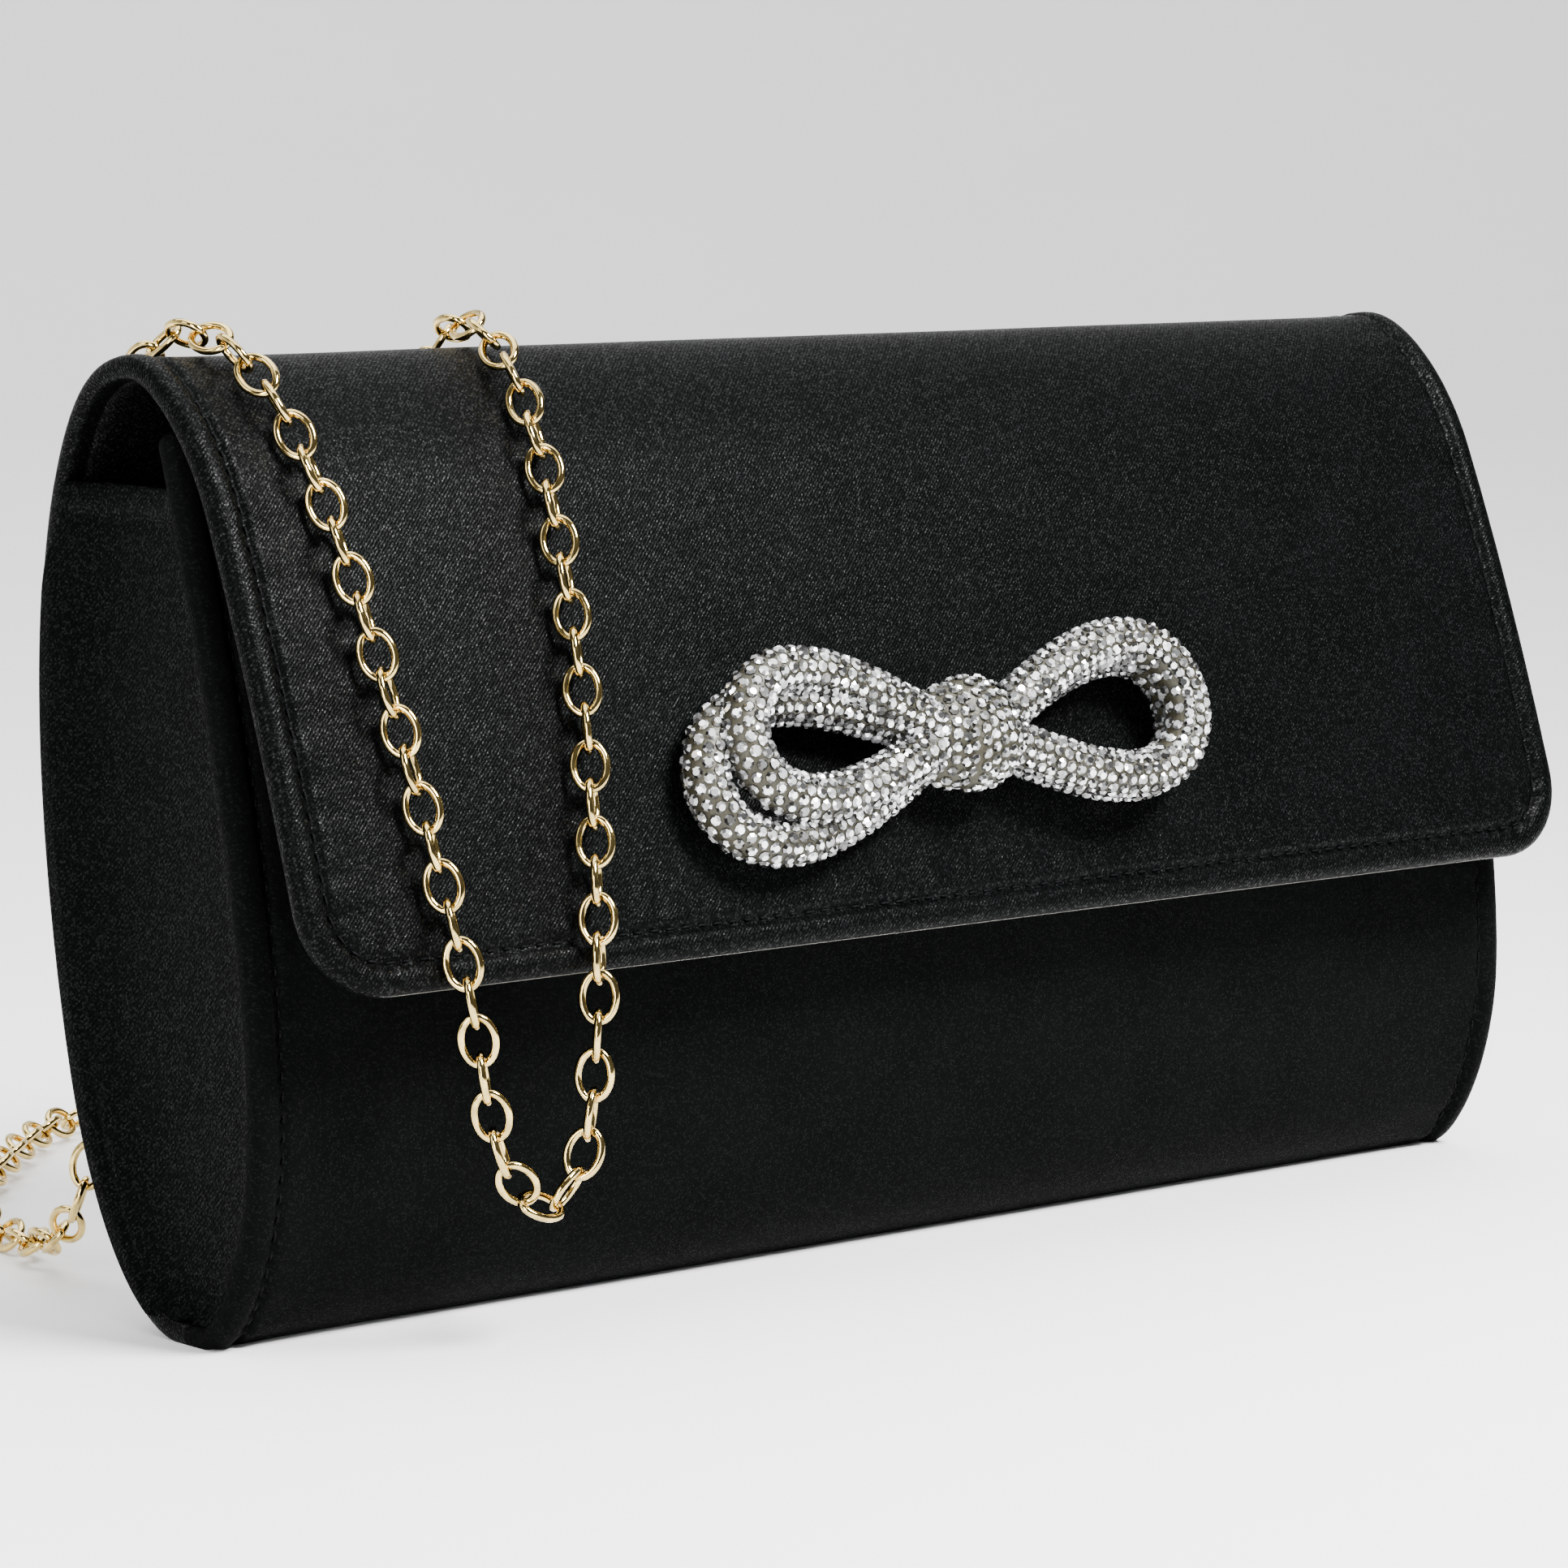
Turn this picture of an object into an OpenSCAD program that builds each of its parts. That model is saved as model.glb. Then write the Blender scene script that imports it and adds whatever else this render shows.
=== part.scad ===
/* [Bag body] */
// Width of the bag, end to end
bag_w = 250; // [220:5:280]
// Outer satin thickness
cover_t = 0.7; // [0.5:0.1:1]
// Stiffening board thickness
board_t = 1.5; // [1:0.1:1.8]
// Lining thickness
lining_t = 0.6; // [0.4:0.1:0.8]
// How far the filled front bulges out at its middle
front_crown = 6; // [3:0.5:7]
// Height of the gussets' hemmed top edge
gusset_top = 120.5; // [116:0.5:121]
// How far the gussets are set in from the ends
gusset_inset = 1.8; // [1:0.1:4]

/* [Flap] */
// Radius of the flap's two lower corners
flap_corner_r = 13; // [6:1:20]

/* [Bow] */
// Diameter of the stone-covered rope
bow_rope_d = 7.4; // [6:0.2:9]
// Place of the knot across the bag
bow_x = -3; // [-10:1:10]

/* [Closure] */
// Diameter of the magnetic snap
snap_d = 14; // [12:1:18]

/* [Strap] */
// Outer width of the chain
chain_d = 6.2; // [6:0.1:7]
// Wire diameter of the D-rings
ring_wire = 1.8; // [1.4:0.1:2]
// Length of a clasp
clasp_l = 20; // [18:1:24]

/* [Hidden] */
satin = "#202226";
satin_inside = "#17181b";
board_grey = "#8b8780";
gold = "#d9b978";
steel = "#b9bcc0";
stone_white = "#d8d6d2";
half_w = bag_w / 2;
clear = 0.05;
wall_t = cover_t + board_t + lining_t + 2 * clear;

// ---- side outline: Bezier pieces through [y, z] points, outer face ----
base_front = [-1.5, 0];
base_back = [3.5, 0];
front_low = [base_front, [-7.5, 0], [-16.2, 15], [-16.2, 32]];
front_high = [[-16.2, 32], [-16.2, 62], [-4, 104], [3.5, 127]];
back_low = [base_back, [15, 0.2], [24.6, 15.5], [29.3, 33]];
back_mid = [[29.3, 33], [32.5, 45], [36.3, 66], [36.4, 85]];
back_high = [[36.4, 85], [36.6, 98], [34.9, 111], [31.9, 119.5]];
arch_back = [[31.9, 119.5], [28.1, 130.3], [23.4, 137.2], [13, 137.2]];
arch_front = [[13, 137.2], [7, 137.2], [-2.8, 129], [-8, 117]];
flap_face = [[-8, 117], [-17, 96], [-24.8, 73], [-30.9, 52]];

function bezier(p, t) =
  pow(1 - t, 3) * p[0] + 3 * t * pow(1 - t, 2) * p[1] + 3 * t * t * (1 - t) * p[2] + pow(t, 3) * p[3];
function arc_pts(p, n, from = 0, to = 1) = [for (i = [0:n]) bezier(p, from + (to - from) * i / n)];
function unit(v) = v / norm(v);
function left_of(v) = [-v[1], v[0]];
function tangent_at(pts, i) = unit(pts[min(i + 1, len(pts) - 1)] - pts[max(i - 1, 0)]);
// shifts an outline sideways; a positive distance goes to the left of its direction
function shifted(pts, d) = [for (i = [0:len(pts) - 1]) pts[i] + d * left_of(tangent_at(pts, i))];
function reversed(pts) = [for (i = [len(pts) - 1:-1:0]) pts[i]];
function layer(pts, a, b) = concat(shifted(pts, a), reversed(shifted(pts, b)));
function slice(pts, a, b) = [for (i = [a:b]) pts[i]];

// the front's lower part, the base and the back in one run, from front to back
base_run = concat(reversed(arc_pts(front_low, 8, 0, 0.62)), arc_pts(back_low, 10));
wrap_run = concat(base_run, slice(arc_pts(back_mid, 6), 1, 6), slice(arc_pts(back_high, 6), 1, 6));
front_run = concat(arc_pts(front_low, 4, 0.63, 1), slice(arc_pts(front_high, 14), 1, 14));
flap_run = concat(arc_pts(arch_back, 12, 0.03), slice(arc_pts(arch_front, 12), 1, 12),
  slice(arc_pts(flap_face, 10), 1, 10));
n_base = len(base_run) - 1;

// extrudes a [y, z] outline along X
module along_x(outline, x0, x1) {
  translate([x0, 0, 0]) rotate([90, 0, 90]) linear_extrude(x1 - x0) polygon(outline);
}

// ---- crowned front ----
crown_steps = 12;
crown_from = 8;
crown_to = 127;
function crown(x, z) =
  front_crown * (1 - pow(x / half_w, 2)) * pow(sin(180 * (z - crown_from) / (crown_to - crown_from)), 2);
// one layer of the front between two depths, bulged at its middle
module front_layer(a, b, x_end, pts) {
  outer = shifted(pts, -a);
  inner = shifted(pts, -b);
  n = len(pts);
  xs = [for (i = [0:crown_steps]) x_end * (2 * i / crown_steps - 1)];
  grid_out = [for (x = xs) for (p = outer) [x, p[0] - crown(x, p[1]), p[1]]];
  grid_in = [for (x = xs) for (k = [0:n - 1]) [x, inner[k][0] - crown(x, outer[k][1]), inner[k][1]]];
  all = concat(grid_out, grid_in);
  m = len(grid_out);
  face_out = [for (i = [0:crown_steps - 1]) for (k = [0:n - 2])
    for (f = [[0, 1, n + 1], [0, n + 1, n]]) [for (q = f) i * n + k + q]];
  face_in = [for (f = face_out) [m + f[2], m + f[1], m + f[0]]];
  ends = [for (k = [0:n - 2]) for (f = [[k + 1, k, m + k], [k + 1, m + k, m + k + 1]]) f];
  e = crown_steps * n;
  ends_far = [for (f = ends) [e + f[2], e + f[1], e + f[0]]];
  low = [for (i = [0:crown_steps - 1]) let (a = i * n, b = a + n)
    for (f = [[a, b, m + b], [a, m + b, m + a]]) f];
  high = [for (f = low) [f[2] + n - 1, f[1] + n - 1, f[0] + n - 1]];
  polyhedron(points = all, faces = concat(face_out, face_in, ends, ends_far, low, high), convexity = 6);
}

module wrap_cover() {
  color(satin) along_x(layer(wrap_run, 0, cover_t), -half_w, half_w);
}
module front_cover() {
  color(satin) front_layer(0, cover_t, half_w, front_run);
}
// a disc square to the front behind the snap, its low face at a depth below the outer face
pad_t = 0.315;
module front_pad(r, h, depth) {
  p = bezier(front_high, pad_t);
  d = unit(bezier(front_high, pad_t + 0.01) - bezier(front_high, pad_t - 0.01));
  translate([0, p[0] - crown(0, p[1]), p[1]]) rotate([atan2(d[1], d[0]), 0, 0])
    translate([0, 0, -depth]) cylinder(h = h, r = r, $fn = 32);
}
board_inset = 1;
lining_inset = 2.2;
board_deep = cover_t + clear;
lining_deep = board_deep + board_t + clear;
module front_board() {
  color(board_grey) difference() {
    front_layer(board_deep, board_deep + board_t, half_w - board_inset, front_run);
    front_pad(washer_r + washer_play, washer_deep, wall_t);
  }
}
module front_lining() {
  color(satin_inside) front_layer(lining_deep, wall_t, half_w - lining_inset, front_run);
}
// boards of the base and the back, with a gap where they meet
module wide_board(run) {
  w = half_w - board_inset;
  color(board_grey) along_x(layer(run, board_deep, board_deep + board_t), -w, w);
}
module base_board() {
  wide_board(slice(base_run, 0, n_base - 1));
}
module back_board() {
  wide_board(slice(wrap_run, n_base, len(wrap_run) - 2));
}
module body_lining() {
  w = half_w - lining_inset;
  color(satin_inside) along_x(layer(wrap_run, lining_deep, wall_t), -w, w);
}

// ---- gussets ----
gusset_gap = wall_t + 0.1;
gusset_t = 1;
gusset_lining_t = 0.5;
gusset_front = concat(arc_pts(front_low, 12), slice(arc_pts(front_high, 20), 1, 20));
gusset_back = concat(arc_pts(back_low, 10), slice(arc_pts(back_mid, 6), 1, 6),
  slice(arc_pts(back_high, 6), 1, 6));
gusset_outline = concat(
  [for (p = reversed(shifted(gusset_front, -gusset_gap))) if (p[1] <= gusset_top) p],
  [for (p = shifted(gusset_back, gusset_gap)) if (p[1] <= gusset_top) p]);
module gusset(side) {
  x = half_w - gusset_inset;
  color(satin) mirror([side < 0 ? 1 : 0, 0, 0]) along_x(gusset_outline, x - gusset_t, x);
}
module gusset_lining(side) {
  x = half_w - gusset_inset - gusset_t - clear;
  color(satin_inside) mirror([side < 0 ? 1 : 0, 0, 0]) along_x(gusset_outline, x - gusset_lining_t, x);
}
pocket_half = 60;
pocket_t = 0.8;
module slip_pocket() {
  a = wall_t + clear;
  run = concat(slice(arc_pts(back_low, 10), 9, 10), slice(arc_pts(back_mid, 6), 1, 6));
  color(satin_inside) along_x(layer(run, a, a + pocket_t), -pocket_half, pocket_half);
}

// ---- flap ----
// a place on the flap's outer face: x across, t along the flap's Bezier, then n outward
function flap_dir(t) = unit(bezier(flap_face, t - 0.01) - bezier(flap_face, t + 0.01));
module on_flap(x, t) {
  p = bezier(flap_face, t);
  d = flap_dir(t);
  translate([x, p[0], p[1]]) rotate([atan2(d[1], d[0]), 0, 0]) children();
}
bow_t = 0.6;
snap_t = 0.785;
post_x = 4.5;
hole_depth = 8;
post_r = 1.2;
module flap_holes() {
  for (s = [-1, 1]) on_flap(bow_x + s * post_x, bow_t)
    cylinder(h = hole_depth, r = post_r + 0.2, center = true, $fn = 32);
}
flap_low = 50.8;
// taller and deeper than the flap, to trim its layers
trim = 120;
module flap_layer(a, b, inset, from) {
  run = slice(flap_run, from, len(flap_run) - 1);
  r = flap_corner_r - inset;
  w = half_w - inset;
  low = flap_low + inset;
  difference() {
    intersection() {
      along_x(layer(run, a, b), -w, w);
      translate([0, trim / 2, 0]) rotate([90, 0, 0]) linear_extrude(trim) union() {
        translate([-w, low + r]) square([2 * w, trim]);
        translate([r - w, low]) square([2 * (w - r), r + 2]);
        for (s = [-1, 1]) translate([s * (w - r), low + r]) circle(r, $fn = 64);
      }
    }
    flap_holes();
  }
}
module flap_cover() {
  color(satin) flap_layer(0, cover_t, 0, 0);
}
module flap_board() {
  color(board_grey) difference() {
    flap_layer(board_deep, board_deep + board_t, board_inset, 5);
    on_flap(0, snap_t) translate([0, 0, -wall_t])
      cylinder(h = washer_deep, r = washer_r + washer_play, $fn = 48);
  }
}
module flap_lining() {
  color(satin_inside) flap_layer(lining_deep, wall_t, 0.8, 1);
}

// ---- magnetic snap ----
snap_r = snap_d / 2;
washer_r = snap_r - 1;
snap_plate = 1;
snap_pin = 1;
socket_t = 3;
socket_floor = 0.8;
washer_t = 0.5;
washer_play = 0.3;
washer_deep = 1.3;
snap_pin_r = 2;
snap_hole_r = 3;
// from the stud's plate to the socket's face
snap_gap = 0.35;
module snap_stud() {
  color(gold) on_flap(0, snap_t) translate([0, 0, -wall_t - clear - snap_plate]) {
    cylinder(h = snap_plate, r = snap_r - 0.5, $fn = 64);
    translate([0, 0, -snap_pin]) cylinder(h = snap_pin + 0.1, r = snap_pin_r, $fn = 48);
  }
}
module snap_stud_washer() {
  color(steel) on_flap(0, snap_t) translate([0, 0, lining_t + 0.1 - wall_t])
    cylinder(h = washer_t, r = washer_r, $fn = 48);
}
module snap_socket() {
  low = -wall_t - clear - snap_plate - snap_gap - socket_t;
  color(gold) on_flap(0, snap_t) translate([0, 0, low]) difference() {
    cylinder(h = socket_t, r = snap_r, $fn = 64);
    translate([0, 0, socket_floor]) cylinder(h = socket_t, r = snap_hole_r, $fn = 48);
  }
}
module snap_socket_washer() {
  color(steel) front_pad(washer_r, washer_t, wall_t - lining_t - clear - 0.1);
}

// ---- bow ----
bow_r = bow_rope_d / 2;
// how far out from the flap the front and rear loops stand, at their far ends and at the knot
bow_front = [8.2, 6.5];
bow_rear = [4.3, 5];
bow_left_x = -6;
bow_right_x = 1;
bow_sides = 10;
bow_steps = 26;
// one loop of the rope: out from the knot and back, like half a figure of eight
function loop_pt(a, reach, height, tilt) = [
  reach * sin(a) * cos(tilt) - height * sin(a) * cos(a) * sin(tilt),
  reach * sin(a) * sin(tilt) + height * sin(a) * cos(a) * cos(tilt)];
module bow_loop(x, reach, height, tilt, stand) {
  pts = [for (i = [0:bow_steps]) let (a = 5 + 170 * i / bow_steps, q = loop_pt(a, reach, height, tilt))
    [x + q[0], q[1], stand[1] + (stand[0] - stand[1]) * sin(a)]];
  color(stone_white) on_flap(bow_x, bow_t) tube(pts, bow_r, bow_sides);
}
knot_x = -3;
knot_r = 4.5;
knot_low = [5.6, 4.8];
knot_high = [5, 8.6];
module bow_knot() {
  color(stone_white) on_flap(bow_x + knot_x, bow_t) hull() {
    for (s = [-1, 1]) {
      translate([s * knot_low[0], 0, knot_low[1]]) scale([1, 1.9, 1]) sphere(knot_r, $fn = 32);
      translate([s * knot_high[0], 0, knot_high[1]]) scale([1, 1.74, 1.02]) sphere(knot_r, $fn = 32);
    }
  }
}
backing_low = -wall_t - clear - 0.8;
backing_t = 0.75;
backing_r = 4.5;
post_head_r = 2.2;
post_head_t = 1.25;
module bow_posts() {
  color(steel) for (s = [-1, 1]) on_flap(bow_x + s * post_x, bow_t) {
    translate([0, 0, backing_low - clear - post_head_t])
      cylinder(h = post_head_t, r = post_head_r, $fn = 48);
    translate([0, 0, backing_low - 0.2]) cylinder(h = 0.3 - backing_low, r = post_r, $fn = 32);
  }
}
module bow_backing() {
  color(steel) difference() {
    on_flap(bow_x, bow_t) translate([0, 0, backing_low]) {
      translate([-2 * backing_r, -backing_r, 0]) cube([4 * backing_r, 2 * backing_r, backing_t]);
      for (s = [-1, 1]) translate([s * 2 * backing_r, 0, 0])
        cylinder(h = backing_t, r = backing_r, $fn = 48);
    }
    flap_holes();
  }
}

// ---- swept tubes ----
function cross3(a, b) = [a[1] * b[2] - a[2] * b[1], a[2] * b[0] - a[0] * b[2], a[0] * b[1] - a[1] * b[0]];
function side_of(t, u) = unit(u - (u * t) * t);
function first_side(t) = side_of(t, abs(t[2]) < 0.9 ? [0, 0, 1] : [0, 1, 0]);
// carries a side direction along a path without twist
function sides_along(ts, i = 0, acc = []) =
  i >= len(ts) ? acc
  : sides_along(ts, i + 1, concat(acc, [i == 0 ? first_side(ts[0]) : side_of(ts[i], acc[i - 1])]));
module tube(pts, r, sides) {
  n = len(pts);
  ts = [for (i = [0:n - 1]) tangent_at(pts, i)];
  us = sides_along(ts);
  ring_pts = [for (i = [0:n - 1]) let (w = cross3(ts[i], us[i])) for (k = [0:sides - 1])
    pts[i] + r * (cos(360 * k / sides) * us[i] + sin(360 * k / sides) * w)];
  walls = [for (i = [0:n - 2]) for (k = [0:sides - 1])
    let (a = i * sides + k, b = i * sides + (k + 1) % sides)
    for (f = [[a, a + sides, b + sides], [a, b + sides, b]]) f];
  cap_a = [for (k = [0:sides - 1]) k];
  cap_b = [for (k = [sides - 1:-1:0]) (n - 1) * sides + k];
  polyhedron(points = ring_pts, faces = concat(walls, [cap_a, cap_b]), convexity = 8);
}

// ---- rings and their tabs ----
ring_y = 18;
ring_half = 6;
ring_leg = 3;
tab_len = 8;
bar_clear = 0.08;
left_bar = [-119.3, ring_y, 116.5];
right_bar = [127.3, ring_y, 119.6];
// a D-ring hanging from its straight bar, which lies along Y
module d_ring(bar) {
  r = ring_wire / 2;
  color(gold) translate(bar) rotate([90, 0, 90]) {
    translate([-ring_half, 0, 0]) rotate([0, 90, 0]) cylinder(h = 2 * ring_half, r = r, $fn = 32);
    for (s = [-1, 1]) {
      translate([s * ring_half, 0, 0]) sphere(r, $fn = 32);
      translate([s * ring_half, -ring_leg, 0]) rotate([-90, 0, 0]) cylinder(h = ring_leg, r = r, $fn = 32);
    }
    translate([0, -ring_leg, 0]) rotate([0, 0, 180]) rotate_extrude(angle = 180, $fn = 64)
      translate([ring_half, 0]) circle(r, $fn = 32);
  }
}
module tab_eye(bar) {
  translate(bar - [0, tab_len / 2, 0]) rotate([-90, 0, 0]) cylinder(h = tab_len, r = 1.9, $fn = 48);
}
module tab_bore(bar) {
  translate(bar - [0, tab_len, 0]) rotate([-90, 0, 0])
    cylinder(h = 2 * tab_len, r = ring_wire / 2 + bar_clear, $fn = 48);
}
tab_t = 1.1;
lining_x = half_w - gusset_inset - gusset_t - clear - gusset_lining_t;
module ring_tab_left() {
  color(satin) difference() {
    union() {
      tab_eye(left_bar);
      translate([clear - lining_x, ring_y - tab_len / 2, 104]) cube([tab_t, tab_len, 12]);
    }
    tab_bore(left_bar);
  }
}
// the right tab comes up inside the gusset and over its hem
over_hem_t = 0.9;
module ring_tab_right() {
  hem = gusset_top + 0.1;
  low = 106;
  x = lining_x - clear - tab_t;
  color(satin) difference() {
    union() {
      tab_eye(right_bar);
      translate([x, ring_y - tab_len / 2, low]) cube([tab_t, tab_len, hem + over_hem_t - low]);
      translate([x, ring_y - tab_len / 2, hem]) cube([right_bar[0] - x, tab_len, over_hem_t]);
    }
    tab_bore(right_bar);
  }
}

// ---- clasps ----
clasp_k = clasp_l / 20;
hook_r = 3.6;
hook_bore = 2.15;
clasp_up = 1.65;
eye_v = -13.2;
pivot = [2.3, -6.4];
clasp_t = 3.2;
eye_t = 1;
lever_t = 1.4;
lever_slot = 1.6;
pin_r = 0.55;
pin_hole_r = 0.62;
hanging_ring_v = -16.7;
lying_ring_v = -15.15;
jump_r = 2.8;
jump_wire = 0.45;
// the clasps' own frame: hook upwards along Y, the gate on the +X side, thickness along Z
module clasp_frame(attached) {
  if (attached) translate([right_bar[0], ring_y, 109.95]) rotate([90, 0, 0]) scale(clasp_k) children();
  else translate([23.4, 61, clasp_up]) rotate([0, 0, -90]) scale(clasp_k) children();
}
module plate(t) {
  translate([0, 0, -t / 2]) linear_extrude(t) children();
}
module clasp(attached) {
  color(gold) clasp_frame(attached) difference() {
    union() {
      plate(clasp_t) union() {
        circle(hook_r, $fn = 64);
        translate([-hook_r, -6]) square([2 * hook_r, 6]);
        translate([0, -6]) circle(hook_r, $fn = 64);
      }
      plate(eye_t) union() {
        translate([-1.6, eye_v]) square([3.2, 5]);
        translate([0, eye_v]) circle(2.6, $fn = 48);
      }
    }
    plate(5) union() {
      circle(hook_bore, $fn = 48);
      translate([-hook_bore, -4.6]) square([2 * hook_bore, 4.6]);
      translate([1.5, -4.6]) square([3, 4.2]);
      translate([0, eye_v]) circle(1.3, $fn = 32);
    }
    plate(lever_slot) translate([0.8, -9.8]) square([5, 9.4]);
    plate(5) translate(pivot) circle(pin_hole_r, $fn = 32);
  }
}
module clasp_lever(attached) {
  color(gold) clasp_frame(attached) plate(lever_t) difference() {
    union() {
      translate([2.1, pivot[1]]) square([1.2, -0.55 - pivot[1]]);
      translate(pivot) circle(1.25, $fn = 48);
      translate([pivot[0], -7.3]) square([2.2, 1.5]);
      translate([4.5, -6.55]) circle(0.75, $fn = 32);
    }
    translate(pivot) circle(pin_hole_r, $fn = 32);
  }
}
module clasp_pins() {
  color(gold) for (attached = [true, false]) clasp_frame(attached)
    translate([pivot[0], pivot[1], -clasp_t / 2]) cylinder(h = clasp_t, r = pin_r, $fn = 32);
}
module jump_rings() {
  color(gold) for (attached = [true, false]) clasp_frame(attached)
    translate(attached ? [0, hanging_ring_v, 0] : [0, lying_ring_v, jump_r + jump_wire + clear - clasp_up])
      rotate([0, 90, 0]) rotate_extrude($fn = 48) translate([jump_r, 0]) circle(jump_wire, $fn = 24);
}

// ---- chain strap, as the plain tube that its links fill ----
chain_r = chain_d / 2;
ring_step = 20;
strap_back_a = [
  [127.3, 18, 90], [128.6, 18.5, 40], [128.8, 25, 10], [121, 39, 3.5], [94, 68, 3.5], [30, 115, 3.5],
  [-15, 142, 3.5], [-36, 149, 3.5], [-53, 144, 3.5], [-80, 119, 3.5], [-101, 94, 3.5], [-110, 64, 3.5],
  [-114.6, 46, 10.5], [-113.4, 41, 28], [-113.2, 39.8, 100]];
strap_front_pts = [
  [-113.5, 24.7, 137.5], [-112.5, 13, 141], [-111, -0.4, 134.5], [-108.7, -11.5, 118.5],
  [-105, -24.3, 85.7], [-102, -34.5, 53], [-98.5, -34.9, 35], [-95.5, -34.9, 26.5],
  [-88.5, -34.9, 20.3],
  [-82.5, -34.9, 26.5], [-80.6, -34.9, 35], [-79, -34.5, 53], [-73, -24.3, 85.7],
  [-69.5, -11.5, 118.5], [-67.5, -0.4, 134.5], [-65, 13, 141], [-62.5, 24.7, 137.5]];
strap_back_b = [
  [-61, 39.8, 100], [-58.5, 40.2, 50], [-57, 43, 14], [-47, 52, 3.6], [-22, 60, 3.5], [4, 61, 3.5]];
// a smooth curve through the route's points, its slope at each from its two neighbours
function slope_at(p, i) =
  let (a = max(i - 1, 0), b = min(i + 1, len(p) - 1), la = norm(p[i] - p[a]), lb = norm(p[b] - p[i]))
  (p[b] - p[a]) / (la + lb);
function between(p, i, t) =
  let (h = norm(p[i + 1] - p[i]), t2 = t * t, t3 = t2 * t)
  (2 * t3 - 3 * t2 + 1) * p[i] + (t3 - 2 * t2 + t) * h * slope_at(p, i)
  + (3 * t2 - 2 * t3) * p[i + 1] + (t3 - t2) * h * slope_at(p, i + 1);
function spans(p, i) = max(2, ceil(norm(p[i + 1] - p[i]) / ring_step));
function smooth(p) = concat(
  [for (i = [0:len(p) - 2]) for (k = [0:spans(p, i) - 1]) between(p, i, k / spans(p, i))],
  [p[len(p) - 1]]);
module strap(route) {
  color(gold) tube(smooth(route), chain_r, 8);
}

wrap_cover();
front_cover();
front_board();
front_lining();
base_board();
back_board();
body_lining();
gusset(-1);  // gusset_left
gusset(1);  // gusset_right
gusset_lining(-1);  // gusset_lining_left
gusset_lining(1);  // gusset_lining_right
slip_pocket();
flap_cover();
flap_board();
flap_lining();
snap_socket();
snap_socket_washer();
snap_stud();
snap_stud_washer();
bow_loop(bow_left_x, -40, 19, -4, bow_front);  // bow_left_front_loop
bow_loop(bow_left_x, -45.5, 20.5, 4.5, bow_rear);  // bow_left_rear_loop
bow_loop(bow_right_x, 40.5, 20.5, 3, bow_front);  // bow_right_front_loop
bow_loop(bow_right_x, 42, 19.5, 2, bow_rear);  // bow_right_rear_loop
bow_knot();
bow_posts();
bow_backing();
ring_tab_left();
ring_tab_right();
d_ring(left_bar);  // d_ring_left
d_ring(right_bar);  // d_ring_right
clasp(true);  // clasp_attached
clasp_lever(true);  // clasp_attached_lever
clasp(false);  // clasp_loose
clasp_lever(false);  // clasp_loose_lever
clasp_pins();
jump_rings();
strap(strap_back_a);  // strap_floor_left_back
strap(strap_front_pts);  // strap_front
strap(strap_back_b);  // strap_right_back
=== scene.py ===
"""Looks of the satin clutch purse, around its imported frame. Lengths in the functions are millimetres."""
import math
import random

import bmesh
import bpy
import numpy as np
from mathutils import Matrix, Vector


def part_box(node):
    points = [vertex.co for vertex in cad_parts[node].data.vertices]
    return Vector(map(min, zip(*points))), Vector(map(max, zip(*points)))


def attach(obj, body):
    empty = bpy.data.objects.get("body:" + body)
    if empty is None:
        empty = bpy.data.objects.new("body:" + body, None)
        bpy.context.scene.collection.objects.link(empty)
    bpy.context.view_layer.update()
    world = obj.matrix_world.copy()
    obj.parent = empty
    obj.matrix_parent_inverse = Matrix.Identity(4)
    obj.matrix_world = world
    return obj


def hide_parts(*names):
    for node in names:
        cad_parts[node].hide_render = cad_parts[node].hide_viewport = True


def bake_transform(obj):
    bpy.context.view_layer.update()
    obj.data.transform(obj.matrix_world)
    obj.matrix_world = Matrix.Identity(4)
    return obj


MM = 0.001
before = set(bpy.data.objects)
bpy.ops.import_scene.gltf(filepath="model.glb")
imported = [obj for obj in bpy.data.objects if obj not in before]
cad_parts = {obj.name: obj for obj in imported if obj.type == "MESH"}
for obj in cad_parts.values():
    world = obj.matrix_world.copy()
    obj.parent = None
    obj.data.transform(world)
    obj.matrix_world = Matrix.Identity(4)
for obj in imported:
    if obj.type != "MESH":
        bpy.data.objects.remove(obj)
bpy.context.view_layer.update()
random.seed(7)


# ---- camera ----
def make_camera():
    data = bpy.data.cameras.new("camera")
    data.sensor_width = 36
    data.lens = 130.4
    camera = bpy.data.objects.new("camera", data)
    bpy.context.scene.collection.objects.link(camera)
    camera.location = (-0.5674, -0.6447, 0.1725)
    looking = Vector((0.64517, 0.75469, -0.11915))
    camera.rotation_euler = looking.to_track_quat("-Z", "Y").to_euler()
    bpy.context.scene.camera = camera


make_camera()


# ---- small helpers ----
def unit(v):
    v = np.asarray(v, float)
    return v / np.maximum(np.linalg.norm(v, axis=-1, keepdims=True), 1e-12)


def link_mesh(name, points, faces, material, uv=None, smooth=True):
    """A mesh object from points in millimetres; uv gives one pair per point, in metres."""
    mesh = bpy.data.meshes.new(name)
    mesh.from_pydata([tuple(p) for p in np.asarray(points) * MM], [], [tuple(map(int, f)) for f in faces])
    if uv is not None:
        layer = mesh.uv_layers.new(name="UVMap")
        corners = np.empty(len(mesh.loops), np.int32)
        mesh.loops.foreach_get("vertex_index", corners)
        layer.data.foreach_set("uv", (np.asarray(uv) * MM)[corners].astype(np.float32).ravel())
    mesh.polygons.foreach_set("use_smooth", [smooth] * len(mesh.polygons))
    mesh.update()
    obj = bpy.data.objects.new(name, mesh)
    bpy.context.scene.collection.objects.link(obj)
    obj.data.materials.append(material)
    return obj


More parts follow.
